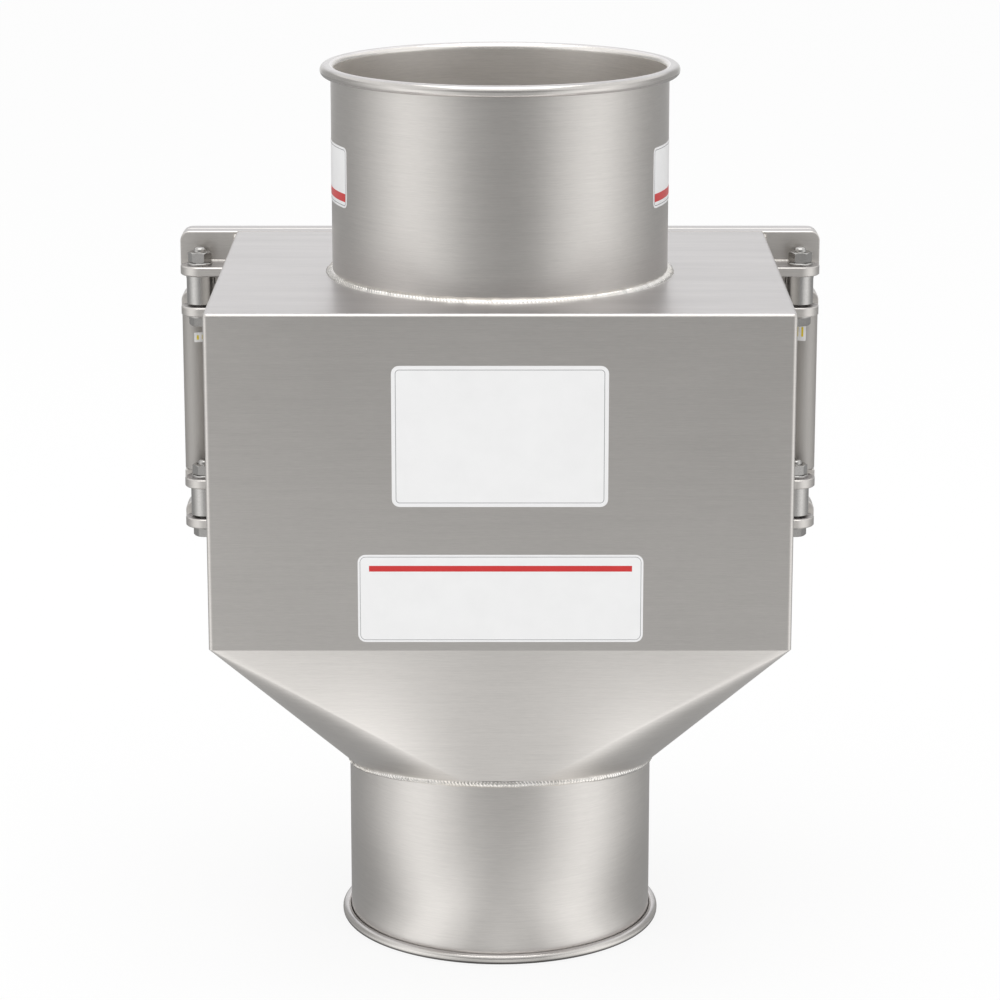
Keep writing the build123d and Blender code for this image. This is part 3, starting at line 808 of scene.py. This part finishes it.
def pivot_set():
    """Bolts with rounded ends, nuts and washers, one piece for each CAD node."""
    bolts, nuts, washers = bmesh.new(), bmesh.new(), bmesh.new()
    for turn, (x, low, high) in enumerate(pivots()):
        for foot in (low - WASHER_T, high):
            lathe(washers, round_rows(WASHER_R, WASHER_T, WASHER_EDGE, THREAD_R + WASHER_ROOM),
                  along("z", (x, PIVOT_Y, foot)), 56)
        head = low - WASHER_T
        angle = math.radians(30)
        hexagon(bolts, along("z", (x, PIVOT_Y, head), flip=True), HEAD_H, 0.0, both=False, turn=angle)
        nut = high + WASHER_T
        shank = along("z", (x, PIVOT_Y, head - SHANK_LAP))
        shank_r = THREAD_R - SHANK_SLACK
        lathe(bolts, [(shank_r, 0.0), (shank_r, nut - head + 2 * SHANK_LAP)], shank, 40, closed=False)
        thread(bolts, along("z", (x, PIVOT_Y, nut + THREAD_LAP)), THREAD_R,
               NUT_H - THREAD_LAP + THREAD_PROUD, tip=0.0)
        lathe(bolts, BOLT_END, along("z", (x, PIVOT_Y, nut + NUT_H)), 40, closed=False)
        own_turn = math.radians(4 * turn - 5)      # each nut stands at an angle of its own
        hexagon(nuts, along("z", (x, PIVOT_Y, nut)), NUT_H, THREAD_R + THREAD_FIT, turn=angle + own_turn)
    piece("pivot_bolt_set", bolts, FASTENER, "frame", ["pivot_bolts"])
    piece("pivot_nut_set", nuts, FASTENER, "frame", ["pivot_nuts"])
    piece("pivot_washer_set", washers, FASTENER, "frame", ["pivot_washers"])


def eye_bolt(row, hand):
    """A swing bolt: a turned eye, a plain neck and a thread."""
    node = f"swing_bolt_{row}_{hand}"
    low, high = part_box(node)
    x = SIDES[hand] * PIVOT_X
    bm = bmesh.new()
    lathe(bm, round_rows(EYE_R, high[2] - low[2], EYE_EDGE, THREAD_R + THREAD_FIT),
          along("z", (x, PIVOT_Y, low[2])), 64)
    shank_z = PAIR_Z[row] + SHANK_RISE
    lathe(bm, [(NECK_R, NECK_START), (NECK_R, NECK_END)], along("y", (x, PIVOT_Y, shank_z)), 40,
          closed=False)
    thread(bm, along("y", (x, PIVOT_Y + NECK_END, shank_z)), THREAD_R, high[1] - PIVOT_Y - NECK_END)
    piece(f"eye_bolt_{row}_{hand}", bm, FASTENER, node, [node])


def star_radius(radius, lobes=5, scallop=0.0045, depth=0.002):
    """The outline of a knob with scallops cut from a disc, blended at their rims."""
    centre = radius + scallop - depth

    def at(a):
        step = 2 * math.pi / lobes
        off = (a + step / 2) % step - step / 2
        inside = scallop**2 - (centre * math.sin(off))**2
        if inside <= 0:
            return radius
        cut = centre * math.cos(off) - math.sqrt(inside)
        gap = max(0.0, 1 - abs(radius - cut) / SCALLOP_RIM)
        return min(radius, cut) - SCALLOP_BLEND * gap
    return at


def knob(row, hand):
    """A moulded star knob with a domed top, its lobes rounded over."""
    node = f"star_knob_{row}_{hand}"
    low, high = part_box(node)
    x = SIDES[hand] * PIVOT_X
    z = PAIR_Z[row] + SHANK_RISE
    star = star_radius(KNOB_R)
    neck = KNOB_NECK
    tall = high[1] - low[1]
    bore = THREAD_R + THREAD_FIT

    def trimmed(by):
        return lambda a: star(a) - by
    rows = [(bore, tall - 0.003), (bore, 0.0005), (0.0046, 0.0),
            (0.0074, 0.0), (0.0080, 0.0006), (0.0080, neck - 0.0004), (0.0083, neck),
            (trimmed(0.0014), neck), (trimmed(0.0005), neck + 0.0004), (trimmed(0.0), neck + 0.0014),
            (trimmed(0.0), tall - 0.0030), (trimmed(0.0004), tall - 0.0016),
            (trimmed(0.0014), tall - 0.0006), (trimmed(0.0028), tall - 0.0001), (0.0070, tall),
            (0.0062, tall), (0.0058, tall - 0.0004), (0.0020, tall - 0.0005)]
    bm = bmesh.new()
    lathe(bm, rows, along("y", (x, low[1], z)), 120, closed=False)
    body = f"knob_{row}_{hand}"
    piece(f"{body}_moulding", bm, BLACK, body, [node], smooth=40)
    washer = f"knob_washer_{row}_{hand}"
    low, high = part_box(washer)
    bm = bmesh.new()
    lathe(bm, round_rows(KNOB_WASHER_R, high[1] - low[1], WASHER_EDGE, THREAD_R + WASHER_ROOM),
          along("y", (x, low[1], z)), 64)
    piece(f"{body}_washer", bm, FASTENER, body, [washer])


def bar_places():
    for count, z in BAR_ROWS:
        for i in range(count):
            yield (i - (count - 1) / 2) * BAR_PITCH, z


def cap_nuts():
    """Domed nuts on the studs of the magnet cores."""
    low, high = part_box("core_nuts")
    tall = high[1] - low[1]
    bm = bmesh.new()
    for turn, (x, z) in enumerate(bar_places()):
        place = along("y", (x, low[1], z))
        hexagon(bm, place, CAP_HEX, 0.0, turn=math.radians(30 + 7 * (turn % 4)))
        dome = [(CAP_R, CAP_HEX - CAP_SUNK)]
        dome += [(CAP_R * math.cos(a), CAP_HEX + (tall - CAP_HEX) * math.sin(a))
                 for a in (math.radians(d) for d in range(0, 81, 10))]
        lathe(bm, dome, place, 48, closed=False)
    piece("cap_nut_set", bm, FASTENER, "magnet_puller", ["core_nuts"])


pivot_set()
cap_nuts()
for row in PAIR_Z:
    for hand in SIDES:
        eye_bolt(row, hand)
        knob(row, hand)


# Plates with broken edges
def broken_edges(node, width, body, material=LEVEL_PLATE, front=None):
    """A copy of a CAD node with its sharp edges broken, in its place.

    Those of its front face are broken by front where that is given.
    """
    bm = bmesh.new()
    bm.from_mesh(nodes[node].data)
    bmesh.ops.remove_doubles(bm, verts=bm.verts, dist=1e-6)
    bmesh.ops.dissolve_limit(bm, angle_limit=math.radians(0.5), verts=bm.verts, edges=bm.edges)
    face = min(v.co.y for v in bm.verts) + 0.0001
    for cut, ahead in ((front, True), (width, False)):
        sharp = [e for e in bm.edges if len(e.link_faces) == 2 and e.calc_face_angle() > math.radians(50)
                 and (not ahead or max(v.co.y for v in e.verts) < face)]
        if cut and sharp:
            bmesh.ops.bevel(bm, geom=sharp, offset=cut, segments=1, affect="EDGES", profile=0.5,
                            clamp_overlap=True)
    piece(f"{node}_dressed", bm, material, body, [node], smooth=25)


broken_edges("door_flange", 0.0003, "frame", front=0.0009)
for node in ("door_plate", "drawer_end_plate"):
    broken_edges(node, 0.0003, "frame")
broken_edges("puller_plate", 0.0005, "magnet_puller")
for row in PAIR_Z:
    for hand in SIDES:
        broken_edges(f"hinge_lugs_{row}_{hand}", 0.0007, "frame")
for hand in SIDES:
    # The side tubes get the sheet that is painted darker, a painted shade.
    broken_edges(f"side_tube_{hand}", 0.0004, "frame", UPRIGHT_PAINTED_SHADE)
    broken_edges(f"drawer_rail_{hand}", 0.0004, "frame")


# Label plates without words. Sizes are width and height, places are in the row frame
FIELD_RISE = 0.00004       # a printed field over its film
LINE_RISE = 0.00003
UPPER_LABEL, UPPER_PLACE = (0.1230, 0.0820), (0.0, 0.3342)
LOWER_LABEL, LOWER_PLACE = (0.1633, 0.0518), (0.0003, 0.2391)
INLET_LABEL, INLET_LEVEL = (0.0590, 0.0355), 0.46725
INLET_TURN = 80            # degrees from the front to the middle of an inlet's label
TUBE_R = 0.0086
TUBE_X, TUBE_Y = 0.1944, 0.1395
STICKER_TURN = 22          # degrees from the front towards the part's middle
STICKER_WIDTH = 0.0078
STICKERS = {"left": (0.0062, 0.3372), "right": (0.0124, 0.3411)}      # height and level


def on_front(x, z):
    return lambda u, v, out: (x + u, -BOX_Y - out, z + v)


def on_tube(radius, centre, turn, level):
    """A surface round an upright tube. u runs along its skin from turn, seen from outside."""
    def at(u, v, out):
        a = turn + u / radius
        return (centre[0] + (radius + out) * math.cos(a), centre[1] + (radius + out) * math.sin(a),
                level + v)
    return at


def label(name, surface, size, corner, band=None, line=None, fill=1):
    """White film with round corners. band is (low, high, margin), line is (inset, width)."""
    bm = bmesh.new()
    film(bm, surface, film_columns(*size, corner), FILM_T, 0)
    if band:
        low, high, margin = band
        width, height = size[0] - 2 * margin, size[1] - 2 * margin
        columns = film_columns(width, height, max(corner - margin, FIELD_CORNER))
        film(bm, surface, columns, FILM_T + FIELD_RISE, fill, low, high)
    if line:
        rule(bm, surface, size, corner, *line, FILM_T + LINE_RISE, 2)
    piece(name, bm, [WHITE_FILM, RED_FILM, GREY_FILM, YELLOW_FILM], "frame")


label("front_label_upper", on_front(*UPPER_PLACE), UPPER_LABEL, 0.0045, line=(0.0022, 0.00035))
label("front_label_lower", on_front(*LOWER_PLACE), LOWER_LABEL, 0.0045,
      band=(0.0160, 0.0235, 0.0065), line=(0.0012, 0.0003))
for hand, side in SIDES.items():
    skin = on_tube(INLET_R, (0, 0), math.radians(-90 + side * INLET_TURN), INLET_LEVEL)
    label(f"inlet_label_{hand}", skin, INLET_LABEL, 0.0035, band=(-0.01415, -0.00935, 0.0018),
          line=(0.0012, 0.00045))
    tall, level = STICKERS[hand]
    skin = on_tube(TUBE_R, (side * TUBE_X, TUBE_Y), math.radians(-90 - side * STICKER_TURN), level)
    label(f"side_label_{hand}", skin, (STICKER_WIDTH, tall), 0.0006,
          band=(-tall * 0.28, tall * 0.22, 0.0016), fill=3)


# Stage and light
# Tones against the angle from the front: 0 is the front, 0.5 the side, 1 the back
CARD_TONES = [(0.0, 0.38), (0.12, 0.45), (0.22, 0.70), (0.32, 0.93), (0.39, 0.92), (0.48, 0.66),
              (0.59, 0.41), (0.71, 0.29), (1.0, 0.26)]
ROOM_TONES = [(0.0, 0.25), (0.135, 0.29), (0.28, 0.62), (0.40, 0.84), (0.52, 0.56), (0.64, 0.34),
              (0.84, 0.34), (0.94, 0.62), (1.0, 0.68)]
CARD_SHIFT, ROOM_SHIFT = 0.025, 0.018     # how much further round the left half's tones are read
NEAR_REACH = 0.27          # closer to the axis than this the tones are read further round,
NEAR_TURN = 0.50           # up to this share more,
NEAR_FADE = 10.0           # and this is how fast that sets in
# Tones of the card in front, against the distance over FRONT_SPAN
FRONT_TONES = [(0.06, 0.62), (0.085, 0.54), (0.11, 0.43), (0.14, 0.38), (0.38, 0.495), (0.56, 0.415),
               (0.70, 0.33), (0.85, 0.225)]
FRONT_SPAN = 2.5
FRONT_TILT = 0.3           # how much darker it gets per metre to the right
FRONT_SHARE = [(0.0, 1.0), (0.22, 0.0)]   # where the front's tones give way to those round the part
PAINTED_SHADOW_UNDER = [(0.487, 0.12), (0.507, 1.0)]     # painted shadow: dark under the part, against five times the distance
# The hopper's front panel sees the card a little brighter beside its middle
PANEL_LIFT = [(0.08, 0.0), (0.26, 0.36), (0.40, 0.36), (0.62, 0.0)]    # against five times x
PANEL_BELT = [(0.40, 0.0), (0.56, 1.0), (0.72, 1.0), (0.86, 0.0)]      # against three times the distance
CARD_GAIN = 1.4
CARD_REACH = 3.4
CARD_LEVEL = 0.0006
ROOM_RADIUS = 3.4
ROOM_HEIGHT = 1.9
CEILING = (0.9, -1.3, 0.5, 2.3)    # half its width, its depth from and to, its level
CEILING_GLOW = 2.4
PAPER = (0.96, 0.96, 0.96, 1)
PAPER_GLOW = 0.84
AMBIENT = 0.90
FLOOR = 9.0
AIM = (0, 0, 0.28)
LAMPS = [("side_light_left", (-1.9, -0.9, 1.2), (1.5, 1.5), 6),       # name, place, size, watts
         ("side_light_right", (1.9, -0.9, 1.2), (1.5, 1.5), 4),
         ("top_light", (0, 0.2, 2.4), (1.6, 1.6), 9)]
SENSOR, LENS = 36.0, 129.0
CAMERA_PLACE = (0.0, -2.111, 0.7958)
CAMERA_PITCH = 75.84       # degrees from straight down


def stage_mesh(name, data, material):
    data.materials.append(material)
    obj = bpy.data.objects.new(name, data)
    scene.collection.objects.link(obj)
    return obj


def stage_plane(name, x, y0, y1, z, material):
    """A level plane that is 2 * x wide."""
    data = bpy.data.meshes.new(name)
    data.from_pydata([(-x, y0, z), (x, y0, z), (x, y1, z), (-x, y1, z)], [], [(0, 1, 2, 3)])
    return stage_mesh(name, data, material)


class Stage(Tree):
    """A bare node tree for the floor, the cards or the world."""

    def __init__(self, owner, output):
        super().__init__(owner)
        self.tree.nodes.clear()
        self.out = self.node(output)

    def ramp(self, source, stops):
        made = self.node("ShaderNodeValToRGB")
        made.color_ramp.interpolation = "EASE"
        while len(made.color_ramp.elements) < len(stops):
            made.color_ramp.elements.new(0.5)
        for element, (place, value) in zip(made.color_ramp.elements, stops):
            element.position, element.color = place, (value, value, value, 1)
        self.link(source, made.inputs["Fac"])
        return made.outputs["Color"]

    def seen(self):
        """One for camera, glossy and transmission rays."""
        path = self.node("ShaderNodeLightPath")
        direct = self.math("MAXIMUM", path.outputs["Is Camera Ray"], path.outputs["Is Glossy Ray"])
        return self.math("MAXIMUM", direct, path.outputs["Is Transmission Ray"])

    def scaled(self, vector, by):
        made = self.node("ShaderNodeVectorMath", operation="SCALE")
        self.link(vector, made.inputs[0])
        self.link(by, made.inputs["Scale"])
        return made.outputs["Vector"]

    def emission(self, strength, colour=None):
        glow = self.node("ShaderNodeEmission", in_Strength=strength)
        if colour is not None:
            self.link(colour, glow.inputs["Color"])
        self.link(glow.outputs[0], self.out.inputs["Surface"])

    def azimuth(self, left_lift):
        """The angle away from the front, 0 to 1, the distance from the part's axis, and x."""
        x, y, _ = self.parts(self.node("ShaderNodeTexCoord").outputs["Object"])
        turn = self.math("ARCTAN2", x, self.math("MULTIPLY", y, -1.0))
        share = self.math("DIVIDE", self.math("ABSOLUTE", turn), math.pi)
        left = self.math("LESS_THAN", x, 0.0)
        share = self.math("ADD", share, self.math("MULTIPLY", left, left_lift))
        squares = self.math("ADD", self.math("MULTIPLY", x, x), self.math("MULTIPLY", y, y))
        return share, self.math("SQRT", squares), x


def floor_paper():
    """White paper that shows the object's shadow and glows where it is seen."""
    mat = bpy.data.materials.new("stage_paper")
    s = Stage(mat, "ShaderNodeOutputMaterial")
    paper = s.node("ShaderNodeBsdfDiffuse")
    paper.inputs["Color"].default_value = PAPER
    glow = s.node("ShaderNodeEmission")
    blend = s.node("ShaderNodeMixShader")
    s.link(s.math("MULTIPLY", s.seen(), PAPER_GLOW), blend.inputs[0])
    s.link(paper.outputs[0], blend.inputs[1])
    s.link(glow.outputs[0], blend.inputs[2])
    s.link(blend.outputs[0], s.out.inputs["Surface"])
    return mat


def only_reflected(obj):
    obj.visible_camera = obj.visible_diffuse = obj.visible_shadow = False
    obj.visible_transmission = False


def floor_card():
    """Grey and white card round the part: darker in front and behind, brightest at the sides."""
    mat = bpy.data.materials.new("floor_card")
    s = Stage(mat, "ShaderNodeOutputMaterial")
    share, away, x = s.azimuth(CARD_SHIFT)
    near = s.math("MULTIPLY", s.math("SUBTRACT", NEAR_REACH, away), NEAR_FADE, clamp=True)
    share = s.math("MULTIPLY", share, s.math("ADD", 1.0, s.math("MULTIPLY", near, NEAR_TURN)))
    round_tone = s.ramp(share, CARD_TONES)
    front_tone = s.ramp(s.math("DIVIDE", away, FRONT_SPAN), FRONT_TONES)
    tilted = s.scaled(front_tone, s.math("SUBTRACT", 1.0, s.math("MULTIPLY", x, FRONT_TILT)))
    tone = s.mix(s.ramp(share, FRONT_SHARE), round_tone, tilted)
    # Painted shadow: the card is darkened under the part.
    shaded = s.mix(1.0, tone, s.ramp(s.math("MULTIPLY", away, 5.0), PAINTED_SHADOW_UNDER), "MULTIPLY")
    beside = s.ramp(s.math("MULTIPLY", s.math("ABSOLUTE", x), 5.0), PANEL_LIFT)
    belt = s.ramp(s.math("MULTIPLY", away, 3.0), PANEL_BELT)
    s.emission(CARD_GAIN, s.scaled(shaded, s.math("ADD", 1.0, s.math("MULTIPLY", belt, beside))))
    only_reflected(stage_plane("floor_card", CARD_REACH, -CARD_REACH, CARD_REACH, CARD_LEVEL, mat))


def room_card():
    """A round wall that reflections see above the floor card."""
    mat = bpy.data.materials.new("room_card")
    s = Stage(mat, "ShaderNodeOutputMaterial")
    share, _, _ = s.azimuth(ROOM_SHIFT)
    s.emission(CARD_GAIN, s.ramp(share, ROOM_TONES))
    bm = bmesh.new()
    rings(bm, [(ROOM_RADIUS, 0.0), (ROOM_RADIUS, ROOM_HEIGHT)], Matrix.Identity(4), 96, closed=False)
    data = bpy.data.meshes.new("room_card")
    bm.to_mesh(data)
    bm.free()
    only_reflected(stage_mesh("room_card", data, mat))


def ceiling_card():
    """The bright softbox overhead that gives rounded edges their highlight."""
    mat = bpy.data.materials.new("ceiling_card")
    Stage(mat, "ShaderNodeOutputMaterial").emission(CEILING_GLOW)
    only_reflected(stage_plane("ceiling_card", *CEILING, mat))


def studio_world():
    world = bpy.data.worlds.new("studio")
    scene.world = world
    s = Stage(world, "ShaderNodeOutputWorld")
    backdrop = s.node("ShaderNodeBackground")
    ambient = s.node("ShaderNodeBackground")
    ambient.inputs["Color"].default_value = (1, 1, 1, 1)
    ambient.inputs["Strength"].default_value = AMBIENT
    backdrop.inputs["Color"].default_value = (1, 1, 1, 1)
    blend = s.node("ShaderNodeMixShader")
    s.link(s.seen(), blend.inputs[0])
    s.link(ambient.outputs[0], blend.inputs[1])
    s.link(backdrop.outputs[0], blend.inputs[2])
    s.link(blend.outputs[0], s.out.inputs["Surface"])


def lamp(name, place, size, power):
    """A soft lamp that lights the matt surfaces. Metal reflects the cards instead."""
    data = bpy.data.lights.new(name, "AREA")
    data.shape = "RECTANGLE"
    data.size, data.size_y = size
    data.energy = power
    obj = bpy.data.objects.new(name, data)
    scene.collection.objects.link(obj)
    obj.location = place
    obj.rotation_mode = "QUATERNION"
    obj.rotation_quaternion = (Vector(AIM) - Vector(place)).to_track_quat("-Z", "Y")
    obj.visible_glossy = False


stage_plane("floor", FLOOR, -FLOOR, FLOOR, 0, floor_paper())
floor_card()
room_card()
ceiling_card()
studio_world()
for name, place, size, power in LAMPS:
    lamp(name, place, size, power)

camera_data = bpy.data.cameras.new("camera")
camera_data.sensor_width = SENSOR
camera_data.lens = LENS
camera = bpy.data.objects.new("camera", camera_data)
scene.collection.objects.link(camera)
camera.location = CAMERA_PLACE
camera.rotation_euler = (math.radians(CAMERA_PITCH), 0.0, 0.0)
scene.camera = camera
scene.view_settings.view_transform = "Standard"
